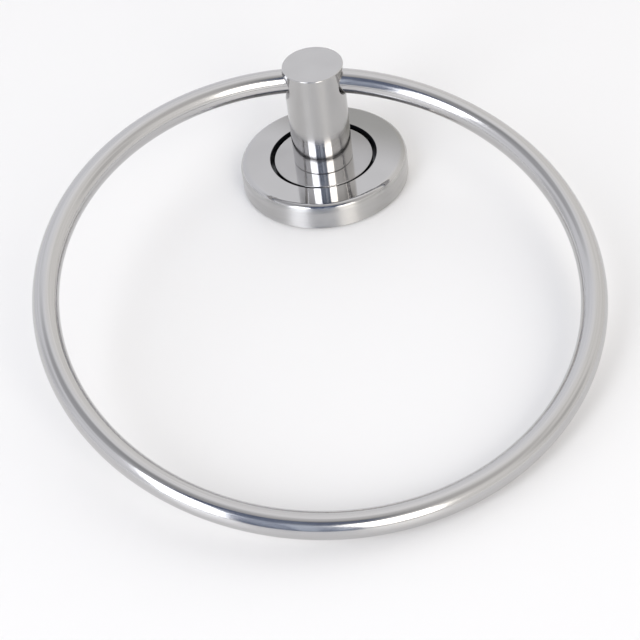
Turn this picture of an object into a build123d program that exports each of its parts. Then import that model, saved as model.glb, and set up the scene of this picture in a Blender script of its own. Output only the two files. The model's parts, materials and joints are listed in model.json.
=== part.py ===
from build123d import *
import os
from math import asin, degrees, radians, sin, sqrt

# Towel ring on a round wall rose, in millimetres.
# The wall is the plane Y = 0, the post points along -Y, Z is up and the ring hangs below the post.

# Ring: a closed loop of round bar
rod_d = 8.0
ring_d = 164.0              # centre line of the loop
ring_lean = 6.1             # degrees, the sideways slack that the loop takes up in its hole
wall_gap = 0.3              # left between the ring and the wall when it lies back

# Post: a straight turned bar with a cross hole
post_d = 20.0
post_reach = 46.0           # wall to front face
post_edge = 0.25            # edge break of the front face
post_foot = 0.35            # edge break of the foot, seen as a fine dark line on the seat disc
hole_setback = 6.2          # front face to the middle of the cross hole
rod_slack = 1.4             # all round the rod in the cross hole
hole_rim = 0.4              # rounding of the hole's mouths

# Rose cover: a shell with a round hole
cover_d = 56.6
cover_depth = 9.0
cover_wall = 1.5
cover_edge = 2.3            # rounding between face and side wall
cover_foot = 0.4            # rounding at the wall
cover_hole_d = 36.2
cover_lip = 0.15            # edge break of the hole

# Seat disc: stands in the cover's hole and carries the post
seat_gap = 1.4              # black gap between disc and cover
seat_recess = 0.65          # face of the disc below the face of the cover
seat_edge = 0.2

# Fixing plate: screwed to the wall, behind the cover
plate_t = 3.4
plate_fit = 0.05            # push fit of the cover over the plate
plate_lead = 0.5            # chamfer that leads the cover on
wall_screw_d = 4.5

# Clamp screw: countersunk, from behind through plate and disc into the post
clamp_d = 6.0
clamp_head_d = 11.4
clamp_sunk = 0.3            # head below the back of the plate
clamp_reach = 10.0          # length of the screw inside the post
clamp_play = 0.3            # all round the shank in plate and disc
thread_play = 0.05
socket_af = 4.0             # hexagon socket across flats
socket_depth = 2.2
spigot_d = 12.0             # centres the post on the disc
spigot_h = 1.5
spigot_play = 0.05

# Sizes that follow
ring_r = ring_d / 2
rod_r = rod_d / 2
post_r = post_d / 2
seat_r = cover_hole_d / 2 - seat_gap
seat_face = cover_depth - seat_recess
cover_bore_r = cover_d / 2 - cover_wall
# The two wall screws are above and below the post, in the middle of the free ring between disc and cover
wall_screw_pitch = seat_r + cover_bore_r
hole_r = rod_r + rod_slack
hole_depth = post_reach - hole_setback
# The head's cone is at 45 degrees, so its depth is the difference of its radii
head_r = clamp_head_d / 2
cone_h = head_r - clamp_d / 2

# The rod bows inside the hole, so the loop is set half of that bow up to stay in the middle
rod_bow = ring_r - sqrt(ring_r**2 - post_r**2)
loop_drop = ring_r - rod_bow / 2
# The loop lies back by the angle at which its leaning lower edge comes to the gap at the wall, where
# free_depth = loop_drop * sin(back) + ring_r * sqrt(sin(back)**2 + (slope * cos(back))**2)
slope = sin(radians(ring_lean))
free_depth = hole_depth - wall_gap - rod_r
square_a = loop_drop**2 - ring_r**2 * (1 - slope**2)
square_b = -2 * free_depth * loop_drop
square_c = free_depth**2 - (ring_r * slope) ** 2
sin_back = 2 * square_c / (-square_b + sqrt(square_b**2 - 4 * square_a * square_c))
ring_back = degrees(asin(sin_back))

# Planes: the wall, the axis of the cross hole, and the loop as it lies in the hole
wall = Plane.XZ
hole_plane = Plane(origin=(0, -hole_depth, 0), x_dir=(0, -1, 0), z_dir=(1, 0, 0))
loop_pose = Location((0, -hole_depth, 0)) * Rotation(ring_back, 0, 0) * Rotation(0, 0, ring_lean)
loop_centre = loop_pose * Location((0, 0, -loop_drop))
loop_section = Plane(loop_centre * Location((ring_r, 0, 0)))
loop_plane = Plane(loop_centre)

os.makedirs("parts", exist_ok=True)

with BuildPart() as towel_ring:
    with BuildSketch(loop_section):
        Circle(rod_r)
    revolve(axis=Axis(loop_plane.origin, loop_plane.y_dir))
towel_ring.part.label = "towel_ring"
export_step(towel_ring.part, "parts/towel_ring.step")

with BuildPart() as post:
    with BuildSketch(wall.offset(seat_face)):
        Circle(post_r)
    extrude(amount=post_reach - seat_face)
    front_edge = post.faces().sort_by(Axis.Y)[0].edges()
    foot_edge = post.faces().sort_by(Axis.Y)[-1].edges()
    fillet(front_edge, post_edge)
    fillet(foot_edge, post_foot)
    # The spigot below, which centres the post, and the tapped hole in it
    with BuildSketch(wall.offset(seat_face - spigot_h)):
        Circle(spigot_d / 2)
    extrude(amount=spigot_h)
    with BuildSketch(wall.offset(seat_face - spigot_h)):
        Circle(clamp_d / 2 + thread_play)
    extrude(amount=spigot_h + clamp_reach + clamp_d / 2, mode=Mode.SUBTRACT)
    # The cross hole and its rounded mouths
    with BuildSketch(hole_plane):
        Circle(hole_r)
    extrude(amount=post_d, both=True, mode=Mode.SUBTRACT)
    mouths = post.edges(Select.LAST).filter_by(GeomType.LINE, reverse=True)
    fillet(mouths, hole_rim)
post.part.label = "post"
export_step(post.part, "parts/post.step")

with BuildPart() as seat_disc:
    with BuildSketch(wall.offset(plate_t)):
        Circle(seat_r)
    extrude(amount=seat_face - plate_t)
    fillet(seat_disc.faces().sort_by(Axis.Y)[0].edges(), seat_edge)
    with BuildSketch(wall.offset(seat_face)):
        Circle(spigot_d / 2 + spigot_play)
    extrude(amount=-spigot_h, mode=Mode.SUBTRACT)
    with BuildSketch(wall.offset(plate_t)):
        Circle(clamp_d / 2 + clamp_play)
    extrude(amount=seat_face - plate_t, mode=Mode.SUBTRACT)
seat_disc.part.label = "seat_disc"
export_step(seat_disc.part, "parts/seat_disc.step")

with BuildPart() as rose_cover:
    with BuildSketch(wall):
        Circle(cover_d / 2)
    extrude(amount=cover_depth)
    face_edge = rose_cover.faces().sort_by(Axis.Y)[0].edges()
    wall_edge = rose_cover.faces().sort_by(Axis.Y)[-1].edges()
    fillet(face_edge, cover_edge)
    fillet(wall_edge, cover_foot)
    # The hollow behind the face, rounded inside like the edge outside
    with BuildSketch(wall):
        Circle(cover_bore_r)
    extrude(amount=cover_depth - cover_wall, mode=Mode.SUBTRACT)
    hollow_edge = rose_cover.edges(Select.LAST).filter_by(GeomType.CIRCLE).sort_by(Axis.Y)[0]
    fillet(hollow_edge, cover_edge - cover_wall)
    with BuildSketch(wall.offset(cover_depth)):
        Circle(cover_hole_d / 2)
    extrude(amount=-cover_depth, mode=Mode.SUBTRACT)
    hole_edge = rose_cover.edges(Select.LAST).filter_by(GeomType.CIRCLE).sort_by(Axis.Y)[0]
    fillet(hole_edge, cover_lip)
rose_cover.part.label = "rose_cover"
export_step(rose_cover.part, "parts/rose_cover.step")

with BuildPart() as fixing_plate:
    with BuildSketch(wall):
        Circle(cover_bore_r - plate_fit)
        with GridLocations(0, wall_screw_pitch, 1, 2):
            Circle(wall_screw_d / 2, mode=Mode.SUBTRACT)
    extrude(amount=plate_t)
    chamfer(fixing_plate.faces().sort_by(Axis.Y)[0].outer_wire().edges(), plate_lead)
    # Countersunk hole for the clamp screw, opening to the wall
    with BuildSketch(Plane.XY):
        with BuildLine():
            Polyline(
                (0, 0),
                (head_r + clamp_play, 0),
                (head_r + clamp_play, -clamp_sunk),
                (clamp_d / 2 + clamp_play, -clamp_sunk - cone_h),
                (clamp_d / 2 + clamp_play, -plate_t),
                (0, -plate_t),
                close=True,
            )
        make_face()
    revolve(axis=Axis.Y, mode=Mode.SUBTRACT)
fixing_plate.part.label = "fixing_plate"
export_step(fixing_plate.part, "parts/fixing_plate.step")

with BuildPart() as clamp_screw:
    with BuildSketch(Plane.XY):
        with BuildLine():
            Polyline(
                (0, -clamp_sunk - clamp_play),
                (head_r, -clamp_sunk - clamp_play),
                (clamp_d / 2, -clamp_sunk - clamp_play - cone_h),
                (clamp_d / 2, -seat_face - clamp_reach),
                (0, -seat_face - clamp_reach),
                close=True,
            )
        make_face()
    revolve(axis=Axis.Y)
    with BuildSketch(wall.offset(clamp_sunk + clamp_play)):
        RegularPolygon(socket_af / 2, 6, major_radius=False)
    extrude(amount=socket_depth, mode=Mode.SUBTRACT)
    chamfer(clamp_screw.faces().sort_by(Axis.Y)[0].edges(), clamp_d / 8)
clamp_screw.part.label = "clamp_screw"
export_step(clamp_screw.part, "parts/clamp_screw.step")
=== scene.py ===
import json
from math import atan2, cos, pi, radians, sin, tan

import bpy
from mathutils import Matrix, Vector


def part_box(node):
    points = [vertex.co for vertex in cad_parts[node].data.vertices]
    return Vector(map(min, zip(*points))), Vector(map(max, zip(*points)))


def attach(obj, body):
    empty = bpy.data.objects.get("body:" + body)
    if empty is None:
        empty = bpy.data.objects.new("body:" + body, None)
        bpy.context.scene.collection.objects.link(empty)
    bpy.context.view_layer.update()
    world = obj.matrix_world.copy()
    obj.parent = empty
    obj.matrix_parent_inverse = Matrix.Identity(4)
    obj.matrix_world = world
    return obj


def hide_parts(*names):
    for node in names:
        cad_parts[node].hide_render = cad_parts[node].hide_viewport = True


# Towel ring on a round wall rose, in metres.
# The wall is the plane Y = 0, the post points along -Y, Z is up and the ring hangs below the post.
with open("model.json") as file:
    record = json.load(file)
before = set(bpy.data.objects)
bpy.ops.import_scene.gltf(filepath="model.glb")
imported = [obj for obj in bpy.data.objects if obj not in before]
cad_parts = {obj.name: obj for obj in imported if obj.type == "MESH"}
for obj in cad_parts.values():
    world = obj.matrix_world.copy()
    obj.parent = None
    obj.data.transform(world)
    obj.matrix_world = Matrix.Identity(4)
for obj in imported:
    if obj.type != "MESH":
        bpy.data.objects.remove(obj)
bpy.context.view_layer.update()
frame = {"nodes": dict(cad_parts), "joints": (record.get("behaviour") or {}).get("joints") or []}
mm = 0.001

# Ring: a closed loop of round bar that leans sideways in the post's cross hole
rod_d = 8 * mm
loop_d = 164 * mm
loop_lean = radians(6.1)
loop_steps = 480
rod_steps = 72

# Rose cover: a shell with a round hole, and a rounding between its face and its side wall
cover_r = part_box("rose_cover")[1].x
cover_edge = 2.3 * mm
cover_hole_r = 18.1 * mm

# Post: a straight bar with a cross hole, whose axis is the ring's hinge
post_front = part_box("post")[0].y
hole_middle = Vector(frame["joints"][0]["pos_m"])
hole_r = 5.4 * mm

# Start and end of each change of finish.
# Outwards on the cover: from the painted shade of the gap at the edge of its hole to its mirror face, and on
# to its satin side wall
gap_shade_to_mirror = (cover_hole_r + 0.04 * mm, cover_hole_r + 0.14 * mm)
mirror_to_satin = (cover_r - 0.36 * cover_edge, cover_r - 0.16 * cover_edge)
# Towards the upper right of cover and disc: from their own shade to painted shade, which stands for a darker
# reflection
upper_right = (0.5, 0, 0.87)
unshaded_to_shaded = (0.0, 0.75 * cover_r)
# Along the post: from its front face to its turned side, painted darker as shade,
# and on to its foot, painted brighter as a reflection
buffed_to_turned = (post_front + 0.05 * mm, post_front + 0.3 * mm)
turned_to_bright = (-24 * mm, -17 * mm)
# Outwards from the axis of the cross hole: from its reamed wall to the polished post
reamed_to_polished = (hole_r + 0.05 * mm, hole_r + 0.2 * mm)

# View of the photograph: from below and in front, with this lens on a 36 mm sensor
camera_place = (32.4 * mm, -371.1 * mm, -464.0 * mm)
camera_turn = (136.45, 0.29, 5.66)  # degrees
camera_lens = 97.35
camera_near = 10 * mm

# Studio lamps and curtain. Their angles are in degrees as seen from the rose:
# azimuth from straight below towards +X, height from the wall towards the room.
studio_reach = 2.8
softbox_radiance = 4.0
cool_softbox = {"azimuth": -37.0, "height": 31.0, "width": 22.0, "tall": 48.0}
warm_softbox = {"azimuth": 26.0, "height": 30.0, "width": 21.0, "tall": 36.0}
blue_curtain = {"azimuth": -5.0, "height": 36.5, "width": 41.0, "tall": 73.0}
curtain_fold = 160 * mm
curtain_shade = 0.25        # share of its light that the curtain keeps at its left and at its top
# Places of the room that are darker or brighter than the rest, with their share of its light
dim_front = {"azimuth": 0.0, "height": 84.0, "core": 6.0, "edge": 24.0, "share": 0.7}
dim_middle = {"azimuth": 20.0, "height": 66.0, "core": 5.0, "edge": 17.0, "share": 0.45}
dim_left = {"azimuth": -92.0, "height": 66.0, "core": 10.0, "edge": 27.0, "share": 0.56}
dim_left_low = {"azimuth": -98.0, "height": 20.0, "core": 3.0, "edge": 15.0, "share": 0.78}
dim_right = {"azimuth": 72.0, "height": 62.0, "core": 6.0, "edge": 20.0, "share": 0.72}
dim_right_low = {"azimuth": 85.0, "height": 30.0, "core": 3.0, "edge": 18.0, "share": 0.72}
bright_ceiling = {"azimuth": 180.0, "height": 64.0, "core": 8.0, "edge": 32.0, "share": 1.12}
room_places = (dim_front, dim_middle, dim_left, dim_left_low, dim_right, dim_right_low, bright_ceiling)
cool_to_warm = (-0.4, 0.6)  # change of the room's tint from left to right, along X of the direction
# Wall behind the object, open behind the rose
wall_stand_off = 0.6 * mm
wall_panel_r = 4.0
wall_opening_r = cover_r - cover_edge / 2
wall_panel_steps = 96


def colour(code):
    """An sRGB hex code as linear red, green, blue and alpha."""
    parts = [int(code[i:i + 2], 16) / 255 for i in (0, 2, 4)]
    return (*[p / 12.92 if p <= 0.04045 else ((p + 0.055) / 1.055) ** 2.4 for p in parts], 1.0)


def add(tree, kind, inputs=None, **settings):
    """A new node with its settings, and its inputs set to a value or linked to another node's output."""
    node = tree.nodes.new(kind)
    for name, value in settings.items():
        setattr(node, name, value)
    for key, value in (inputs or {}).items():
        if isinstance(value, bpy.types.NodeSocket):
            tree.links.new(value, node.inputs[key])
        else:
            node.inputs[key].default_value = value
    return node


def new_material(name, **constants):
    """A material, its node tree and its Principled surface with those constants on its own sockets."""
    material = bpy.data.materials.new(name)
    material.use_nodes = True
    surface = material.node_tree.nodes["Principled BSDF"]
    for socket, value in constants.items():
        surface.inputs[socket.replace("_", " ")].default_value = value
    return material, material.node_tree, surface


# Patterns of the finishes

def reach_from(tree, middle, square_ways):
    """Distance from an axis through that middle, in the two ways that are square to the axis."""
    place = add(tree, "ShaderNodeTexCoord").outputs["Object"]
    away = add(tree, "ShaderNodeVectorMath", {0: place, 1: middle}, operation="SUBTRACT").outputs[0]
    flat = add(tree, "ShaderNodeVectorMath", {0: away, 1: square_ways}, operation="MULTIPLY").outputs[0]
    return add(tree, "ShaderNodeVectorMath", {0: flat}, operation="LENGTH").outputs["Value"]


def lines_round_axis(tree, spacing, length):
    """Noise drawn out into lines that run round the post's axis.

    Real turning and polishing lines are finer than the picture can show, so they are drawn coarser.
    """
    place = add(tree, "ShaderNodeTexCoord").outputs["Object"]
    flat = add(tree, "ShaderNodeVectorMath", {0: place, 1: (1, 0, 1)}, operation="MULTIPLY").outputs[0]
    reach = add(tree, "ShaderNodeVectorMath", {0: flat}, operation="LENGTH").outputs["Value"]
    turn = add(tree, "ShaderNodeVectorMath", {0: flat}, operation="NORMALIZE").outputs[0]
    stretch = cover_r / length
    long_way = add(tree, "ShaderNodeVectorMath", {0: turn, 1: (stretch, 0, stretch)}, operation="MULTIPLY")
    across = add(tree, "ShaderNodeVectorMath", {0: place, 1: (0, 1 / spacing, 0)}, operation="MULTIPLY")
    both = add(tree, "ShaderNodeVectorMath", {
        0: long_way.outputs[0], 1: across.outputs[0]}, operation="ADD")
    outwards = add(tree, "ShaderNodeMath", {0: reach, 1: 1 / spacing}, operation="MULTIPLY")
    lines = add(tree, "ShaderNodeTexNoise", {
        "Vector": both.outputs[0], "W": outwards.outputs[0], "Scale": 1.0, "Detail": 3.0, "Roughness": 0.6,
    }, noise_dimensions="4D")
    return lines.outputs[0]


def lines_along_rod(tree, spacing, length):
    """Noise drawn out into lines that run along the bent rod, from its stored places."""
    along = add(tree, "ShaderNodeAttribute", attribute_name="along").outputs["Vector"]
    rim = add(tree, "ShaderNodeAttribute", attribute_name="rim").outputs["Vector"]
    rim_axes = add(tree, "ShaderNodeSeparateXYZ", {0: rim})
    long_way = add(tree, "ShaderNodeVectorMath", {0: along, "Scale": 1 / length}, operation="SCALE")
    side = add(tree, "ShaderNodeMath", {0: rim_axes.outputs["X"], 1: 1 / spacing}, operation="MULTIPLY")
    across = add(tree, "ShaderNodeCombineXYZ", {"Z": side.outputs[0]})
    both = add(tree, "ShaderNodeVectorMath", {
        0: long_way.outputs[0], 1: across.outputs[0]}, operation="ADD")
    height = add(tree, "ShaderNodeMath", {0: rim_axes.outputs["Y"], 1: 1 / spacing}, operation="MULTIPLY")
    lines = add(tree, "ShaderNodeTexNoise", {
        "Vector": both.outputs[0], "W": height.outputs[0], "Scale": 1.0, "Detail": 3.0, "Roughness": 0.6,
    }, noise_dimensions="4D")
    return lines.outputs[0]


def round_axis(tree):
    """Direction of the lines that turning and grinding leave, round the post's axis."""
    return add(tree, "ShaderNodeTangent", direction_type="RADIAL", axis="Y").outputs[0]


def hand_waves(tree, size):
    """Slow waves that hand buffing leaves in a polished surface."""
    place = add(tree, "ShaderNodeTexCoord").outputs["Object"]
    waves = add(tree, "ShaderNodeTexNoise", {"Vector": place, "Scale": 1 / size, "Detail": 1.0})
    return waves.outputs[0]


def painted_upper_right_shade(tree):
    """Share of painted shade on the rose, darker towards its upper right, standing for a darker reflection.
    """
    place = add(tree, "ShaderNodeTexCoord").outputs["Object"]
    reach = add(tree, "ShaderNodeVectorMath", {0: place, 1: upper_right}, operation="DOT_PRODUCT")
    return spread(tree, reach.outputs["Value"], 0.0, 1.0, *unshaded_to_shaded)


def relief(tree, surface, layers):
    """Bump layers on a surface: each a pattern, its height in metres from low to high, and its share."""
    normal = None
    for pattern, height, share in layers:
        inputs = {"Height": pattern, "Distance": height, "Strength": share}
        if normal is not None:
            inputs["Normal"] = normal
        normal = add(tree, "ShaderNodeBump", inputs).outputs[0]
    tree.links.new(normal, surface.inputs["Normal"])


def spread(tree, pattern, low, high, start=0.3, end=0.7):
    """A pattern's change from start to end, spread between two values. Noise lies mostly in 0.3 to 0.7."""
    return add(tree, "ShaderNodeMapRange", {
        "Value": pattern, "From Min": start, "From Max": end, "To Min": low, "To Max": high,
    }, interpolation_type="SMOOTHSTEP").outputs[0]


def shades(tree, pattern, dark_code, pale_code):
    """Two close shades mixed by a pattern."""
    mixed = add(tree, "ShaderNodeMix", {
        "Factor": pattern, 6: colour(dark_code), 7: colour(pale_code),
    }, data_type="RGBA")
    return mixed.outputs[2]


def layered(tree, shade, layers):
    """A shade with others laid over it in turn, each as far as its share goes."""
    for share, over in layers:
        mixed = add(tree, "ShaderNodeMix", {"Factor": share, 6: shade, 7: over}, data_type="RGBA")
        shade = mixed.outputs[2]
    return shade


# Materials

def buffed_bar():
    """Stainless steel bar, bent, welded and buffed along its length: gloss with a fine lengthwise haze."""
    material, tree, surface = new_material("buffed_stainless_bar", Metallic=1.0)
    # Real buffing lines are about 0.02 mm apart; they are drawn coarser so that they show
    lines = lines_along_rod(tree, spacing=0.4 * mm, length=45 * mm)
    waves = hand_waves(tree, size=14 * mm)
    tree.links.new(shades(tree, lines, "B5B4B4", "CDCCCC"), surface.inputs["Base Color"])
    tree.links.new(spread(tree, lines, 0.11, 0.19), surface.inputs["Roughness"])
    relief(tree, surface, [(lines, 0.0012 * mm, 1.0), (waves, 0.06 * mm, 1.0)])
    return material


def polished_post():
    """Stainless steel bar, turned and polished: gloss that faint lines round the axis draw out along it.

    Its turned side is painted darker than its front face as shade, and its foot is painted brighter as a
    reflection; the wall of its cross hole is reamed and stays satin.
    """
    material, tree, surface = new_material(
        "polished_stainless_bar", Metallic=1.0, Anisotropic=0.8, Anisotropic_Rotation=0.25)
    tree.links.new(round_axis(tree), surface.inputs["Tangent"])
    lines = lines_round_axis(tree, spacing=0.15 * mm, length=30 * mm)
    waves = hand_waves(tree, size=9 * mm)
    place = add(tree, "ShaderNodeTexCoord").outputs["Object"]
    depth = add(tree, "ShaderNodeSeparateXYZ", {0: place}).outputs["Y"]
    turned = spread(tree, depth, 0.0, 1.0, *buffed_to_turned)
    foot = spread(tree, depth, 0.0, 1.0, *turned_to_bright)
    # Painted shade on the side, darker than the front face, and painted reflection on the foot, brighter
    steel = layered(tree, shades(tree, waves, "BCBBBB", "C5C4C4"), [
        (turned, shades(tree, waves, "B3B2B1", "BBBAB9")),
        (foot, shades(tree, waves, "D2D1D1", "D9D8D8")),
    ])
    tree.links.new(steel, surface.inputs["Base Color"])
    reamed = spread(tree, reach_from(tree, hole_middle, (0, 1, 1)), 1.0, 0.0, *reamed_to_polished)
    polished_gloss, reamed_gloss = spread(tree, lines, 0.09, 0.15), 0.45
    gloss = add(tree, "ShaderNodeMix", {"Factor": reamed, 2: polished_gloss, 3: reamed_gloss}).outputs[0]
    tree.links.new(gloss, surface.inputs["Roughness"])
    return material


def mirror_disc():
    """Stainless steel disc with a mirror-polished face, clouded by handling, with painted shade to one side.
    """
    material, tree, surface = new_material("mirror_stainless_disc", Metallic=1.0)
    lines = lines_round_axis(tree, spacing=0.3 * mm, length=12 * mm)
    clouds = hand_waves(tree, size=11 * mm)
    # Painted shade: the face is darker towards its upper right, standing for a darker reflection
    steel = layered(tree, shades(tree, clouds, "A9A8A8", "BDBCBC"), [(painted_upper_right_shade(tree), colour("8E8C89"))])
    tree.links.new(steel, surface.inputs["Base Color"])
    tree.links.new(spread(tree, lines, 0.08, 0.14), surface.inputs["Roughness"])
    relief(tree, surface, [(lines, 0.001 * mm, 1.0)])
    return material


def pressed_cover():
    """Stainless steel sheet, pressed: mirror-polished face, side wall satin-ground round the axis.

    It has painted shade towards its upper right, and the edge of its hole is painted near-black and
    matt as the shade of the gap.
    """
    material, tree, surface = new_material(
        "pressed_stainless_sheet", Metallic=1.0, Anisotropic=1.0, Anisotropic_Rotation=0.25)
    tree.links.new(round_axis(tree), surface.inputs["Tangent"])
    lines = lines_round_axis(tree, spacing=0.3 * mm, length=14 * mm)
    grinding = lines_round_axis(tree, spacing=0.8 * mm, length=10 * mm)
    clouds = hand_waves(tree, size=18 * mm)
    reach = reach_from(tree, (0, 0, 0), (1, 0, 1))
    side_wall = spread(tree, reach, 0.0, 1.0, *mirror_to_satin)
    # Painted shade of the gap: the edge of the hole is near-black, so the gap round the disc shows wider and
    # darker
    painted_gap_shade = spread(tree, reach, 1.0, 0.0, *gap_shade_to_mirror)
    gloss = spread(tree, lines, 0.05, 0.09)
    satin_gloss, gap_shade_gloss = spread(tree, grinding, 0.3, 0.5), 0.6
    for share, other in ((side_wall, satin_gloss), (painted_gap_shade, gap_shade_gloss)):
        gloss = add(tree, "ShaderNodeMix", {"Factor": share, 2: gloss, 3: other}).outputs[0]
    tree.links.new(gloss, surface.inputs["Roughness"])
    steel = layered(tree, shades(tree, clouds, "B5B4B4", "C6C5C5"), [
        # painted shade, darker towards the upper right
        (painted_upper_right_shade(tree), shades(tree, clouds, "92918E", "9E9D9A")),
        (side_wall, shades(tree, clouds, "C1C0BF", "CFCECD")),
        # painted shade of the gap
        (painted_gap_shade, colour("1C1E22")),
    ])
    tree.links.new(steel, surface.inputs["Base Color"])
    relief(tree, surface, [(grinding, 0.02 * mm, side_wall)])
    return material


def zinc_plate():
    """Zinc-plated steel sheet: dull blue-grey with cloudy crystals and a fine rolled grain."""
    material, tree, surface = new_material("zinc_plated_sheet", Metallic=1.0)
    clouds = hand_waves(tree, size=4 * mm)
    place = add(tree, "ShaderNodeTexCoord").outputs["Object"]
    grain_size = 0.4 * mm
    grain = add(tree, "ShaderNodeTexNoise", {
        "Vector": place, "Scale": 1 / grain_size, "Detail": 4.0}).outputs[0]
    tree.links.new(shades(tree, clouds, "9A9EA3", "B4B6B8"), surface.inputs["Base Color"])
    tree.links.new(spread(tree, clouds, 0.36, 0.5), surface.inputs["Roughness"])
    relief(tree, surface, [(grain, 0.012 * mm, 1.0)])
    return material


def blackened_screw():
    """Black-oxide steel screw: dark, half matt, with a fine turned grain."""
    material, tree, surface = new_material("black_oxide_steel", Metallic=1.0)
    lines = lines_round_axis(tree, spacing=0.2 * mm, length=20 * mm)
    tree.links.new(shades(tree, lines, "2B2B2E", "47474B"), surface.inputs["Base Color"])
    tree.links.new(spread(tree, lines, 0.38, 0.5), surface.inputs["Roughness"])
    relief(tree, surface, [(lines, 0.004 * mm, 1.0)])
    return material


# Ring: a round rod swept along a circle

def ring_sweep_tree():
    """Geometry nodes of the ring, with named inputs for its sizes, place and finish."""
    tree = bpy.data.node_groups.new("ring_sweep", "GeometryNodeTree")
    for name, kind in (
        ("Loop diameter", "NodeSocketFloat"), ("Rod diameter", "NodeSocketFloat"),
        ("Steps round loop", "NodeSocketInt"), ("Steps round rod", "NodeSocketInt"),
        ("Centre", "NodeSocketVector"), ("Turn", "NodeSocketVector"), ("Finish", "NodeSocketMaterial"),
    ):
        tree.interface.new_socket(name, in_out="INPUT", socket_type=kind)
    tree.interface.new_socket("Ring", in_out="OUTPUT", socket_type="NodeSocketGeometry")
    given = add(tree, "NodeGroupInput").outputs
    here = add(tree, "GeometryNodeInputPosition").outputs[0]
    stored = []
    for diameter, steps in (("Loop diameter", "Steps round loop"), ("Rod diameter", "Steps round rod")):
        radius = add(tree, "ShaderNodeMath", {0: given[diameter], 1: 0.5}, operation="MULTIPLY").outputs[0]
        circle = add(tree, "GeometryNodeCurvePrimitiveCircle", {
            "Resolution": given[steps], "Radius": radius})
        kept = add(tree, "GeometryNodeCaptureAttribute", {"Geometry": circle.outputs[0]})
        kept.capture_items.new("VECTOR", "place")
        tree.links.new(here, kept.inputs["place"])
        stored.append(kept.outputs)
    loop, rod = stored
    swept = add(tree, "GeometryNodeCurveToMesh", {"Curve": loop[0], "Profile Curve": rod[0]}).outputs[0]
    for name, kept in zip(("along", "rim"), stored):
        swept = add(tree, "GeometryNodeStoreNamedAttribute", {
            "Geometry": swept, "Name": name, "Value": kept["place"],
        }, data_type="FLOAT_VECTOR", domain="POINT").outputs[0]
    turn = add(tree, "FunctionNodeEulerToRotation", {0: given["Turn"]}).outputs[0]
    placed = add(tree, "GeometryNodeTransform", {
        "Geometry": swept, "Translation": given["Centre"], "Rotation": turn}).outputs[0]
    smooth = add(tree, "GeometryNodeSetShadeSmooth", {"Geometry": placed}).outputs[0]
    solid = add(tree, "GeometryNodeRealizeInstances", {"Geometry": smooth}).outputs[0]
    finished = add(tree, "GeometryNodeSetMaterial", {"Geometry": solid, "Material": given["Finish"]})
    add(tree, "NodeGroupOutput", {0: finished.outputs[0]})
    return tree


def baked_piece(name, tree, values):
    """A plain mesh piece made by a geometry node tree with those named values."""
    piece = bpy.data.objects.new(name, bpy.data.meshes.new(name))
    bpy.context.scene.collection.objects.link(piece)
    modifier = piece.modifiers.new(name, "NODES")
    modifier.node_group = tree
    for item in tree.interface.items_tree:
        if item.name in values:
            modifier[item.identifier] = values[item.name]
    graph = bpy.context.evaluated_depsgraph_get()
    made = piece.evaluated_get(graph)
    plain = bpy.data.meshes.new_from_object(made, preserve_all_data_layers=True, depsgraph=graph)
    piece.modifiers.clear()
    piece.data = plain
    return piece


def loop_place():
    """Centre of the loop, and the turn that lays a flat circle on it, from the frame's box and hinge."""
    low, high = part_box("towel_ring")
    centre = (low + high) / 2
    upwards = hole_middle - centre
    lie_back = atan2(-upwards.y, upwards.z)
    stand_up = Matrix.Rotation(-pi / 2, 3, "X")
    turn = Matrix.Rotation(lie_back, 3, "X") @ Matrix.Rotation(loop_lean, 3, "Z") @ stand_up
    return centre, turn.to_euler()


loop_centre, loop_turn = loop_place()
ring_bar = baked_piece("ring_bar", ring_sweep_tree(), {
    "Loop diameter": loop_d, "Rod diameter": rod_d,
    "Steps round loop": loop_steps, "Steps round rod": rod_steps,
    "Centre": loop_centre, "Turn": Vector(loop_turn), "Finish": buffed_bar()})
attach(ring_bar, "ring")
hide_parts("towel_ring")

# Turned and pressed pieces keep their solids and get their finishes
for node_name, finish, slot in (
    ("post", polished_post(), "post_steel"),
    ("seat_disc", mirror_disc(), "disc_steel"),
    ("rose_cover", pressed_cover(), "cover_steel"),
    ("fixing_plate", zinc_plate(), "plate_zinc"),
    ("clamp_screw", blackened_screw(), "screw_black"),
):
    piece = frame["nodes"][node_name]
    piece.data.materials.clear()
    piece.data.materials.append(finish)


# Studio

def studio_way(spec):
    """Direction from the rose to a place in the studio."""
    azimuth, height = radians(spec["azimuth"]), radians(spec["height"])
    return Vector((sin(azimuth) * cos(height), -sin(height), -cos(azimuth) * cos(height)))


def studio_place(spec):
    """Place of a lamp or curtain in the studio, and the turn that makes it face the rose."""
    away = studio_way(spec)
    room = Vector((0, -1, 0))
    upright = (room - room.dot(away) * away).normalized()
    turn = Matrix((upright.cross(away), upright, away)).transposed()
    return away * studio_reach, turn.to_euler()


def studio_size(spec):
    """Width and height that fill a lamp's or curtain's angles from where it stands."""
    return [2 * studio_reach * tan(radians(spec[side]) / 2) for side in ("width", "tall")]


def hang_softbox(name, spec, code):
    """A rectangular softbox of even radiance, kept out of the picture itself."""
    lamp = bpy.data.lights.new(name, "AREA")
    lamp.shape = "RECTANGLE"
    lamp.size, lamp.size_y = studio_size(spec)
    lamp.color = colour(code)[:3]
    lamp.energy = softbox_radiance * pi * lamp.size * lamp.size_y
    hung = bpy.data.objects.new(name, lamp)
    hung.location, hung.rotation_euler = studio_place(spec)
    hung.visible_camera = False
    bpy.context.scene.collection.objects.link(hung)


def stage_piece(name, points, faces, material):
    """A piece of the studio, which isn't part of the object."""
    mesh = bpy.data.meshes.new(name)
    mesh.from_pydata(points, [], faces)
    mesh.materials.append(material)
    piece = bpy.data.objects.new(name, mesh)
    bpy.context.scene.collection.objects.link(piece)
    return piece


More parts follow.
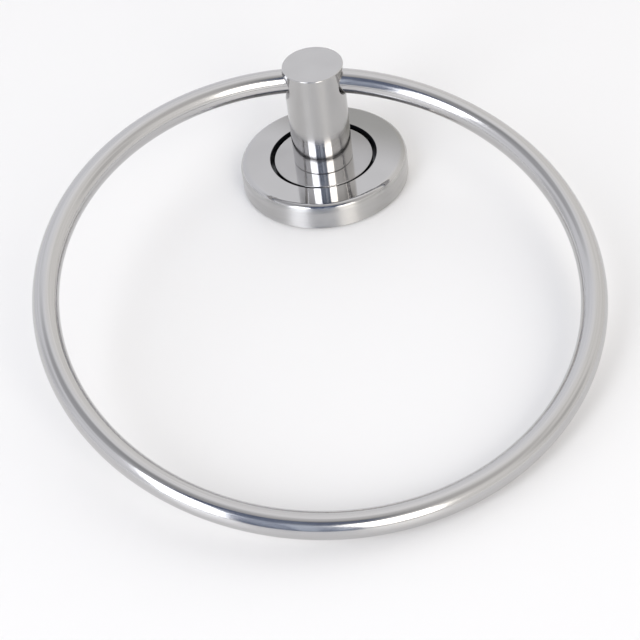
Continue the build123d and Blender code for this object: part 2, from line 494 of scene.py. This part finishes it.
def hang_blue_curtain():
    """A blue curtain between the softboxes, darker to its left and its top.

    Polished steel mirrors it as a dark stripe.
    """
    material, tree, surface = new_material("blue_curtain", Roughness=0.9, Specular_IOR_Level=0.0)
    half_width, half_tall = [side / 2 for side in studio_size(blue_curtain)]
    place = add(tree, "ShaderNodeTexCoord").outputs["Object"]
    sides = add(tree, "ShaderNodeSeparateXYZ", {0: place}).outputs
    folds = add(tree, "ShaderNodeTexNoise", {
        "W": sides["X"], "Scale": 1 / curtain_fold, "Detail": 2.0}, noise_dimensions="1D").outputs[0]
    lit = spread(tree, sides["X"], curtain_shade, 1.0, start=-0.8 * half_width, end=0.0)
    for share in (
        spread(tree, sides["Y"], 1.0, curtain_shade, start=0.0, end=0.5 * half_tall),
        spread(tree, folds, 0.1, 1.0),
    ):
        lit = add(tree, "ShaderNodeMath", {0: lit, 1: share}, operation="MULTIPLY").outputs[0]
    tree.links.new(shades(tree, lit, "3F4C6C", "E4EEFC"), surface.inputs["Base Color"])
    corners = [(x * half_width, y * half_tall, 0) for x, y in ((-1, -1), (1, -1), (1, 1), (-1, 1))]
    curtain = stage_piece("blue_curtain", corners, [(0, 1, 2, 3)], material)
    curtain.location, curtain.rotation_euler = studio_place(blue_curtain)
    curtain.visible_camera = False


def stand_wall_panel():
    """The plain, pale, half-gloss wall behind the object: open behind the rose, seen only from the front."""
    material, tree, surface = new_material("pale_wall", Roughness=0.42)
    surface.inputs["Base Color"].default_value = colour("F2F1F0")
    side = add(tree, "ShaderNodeNewGeometry").outputs["Backfacing"]
    clear = add(tree, "ShaderNodeBsdfTransparent").outputs[0]
    one_sided = add(tree, "ShaderNodeMixShader", {0: side, 1: surface.outputs[0], 2: clear}).outputs[0]
    tree.links.new(one_sided, tree.nodes["Material Output"].inputs["Surface"])
    steps = wall_panel_steps
    angles = [2 * pi * i / steps for i in range(steps)]
    radii = (wall_opening_r, wall_panel_r)
    points = [(r * cos(a), wall_stand_off, r * sin(a)) for r in radii for a in angles]
    faces = [(i, steps + i, steps + (i + 1) % steps, (i + 1) % steps) for i in range(steps)]
    stage_piece("wall_panel", points, faces, material)


def light_room():
    """Soft light from all round, cool from the left and warm from the right.

    It is brighter on the ceiling and dimmer beside and over the softboxes.
    """
    world = bpy.data.worlds.new("studio_room")
    bpy.context.scene.world = world
    world.use_nodes = True
    tree = world.node_tree
    look = add(tree, "ShaderNodeTexCoord").outputs["Generated"]
    strength = 1.0
    for place in room_places:
        towards = add(tree, "ShaderNodeVectorMath", {
            0: look, 1: studio_way(place)}, operation="DOT_PRODUCT")
        edge, core = [cos(radians(place[name])) for name in ("edge", "core")]
        factor = spread(tree, towards.outputs["Value"], 1.0, place["share"], start=edge, end=core)
        strength = add(tree, "ShaderNodeMath", {0: strength, 1: factor}, operation="MULTIPLY").outputs[0]
    room = tree.nodes["Background"]
    sideways = add(tree, "ShaderNodeSeparateXYZ", {0: look}).outputs["X"]
    to_right = spread(tree, sideways, 0.0, 1.0, *cool_to_warm)
    tree.links.new(shades(tree, to_right, "F9FAFF", "FDFBF8"), room.inputs["Color"])
    tree.links.new(strength, room.inputs["Strength"])


hang_softbox("cool_softbox", cool_softbox, "F6F9FF")
hang_softbox("warm_softbox", warm_softbox, "FFFAF2")
hang_blue_curtain()
stand_wall_panel()
light_room()

camera_data = bpy.data.cameras.new("camera")
camera_data.lens = camera_lens
camera_data.clip_start = camera_near
camera = bpy.data.objects.new("camera", camera_data)
camera.location = camera_place
camera.rotation_euler = [radians(angle) for angle in camera_turn]
bpy.context.scene.collection.objects.link(camera)
bpy.context.scene.camera = camera
bpy.context.scene.view_settings.view_transform = "Standard"
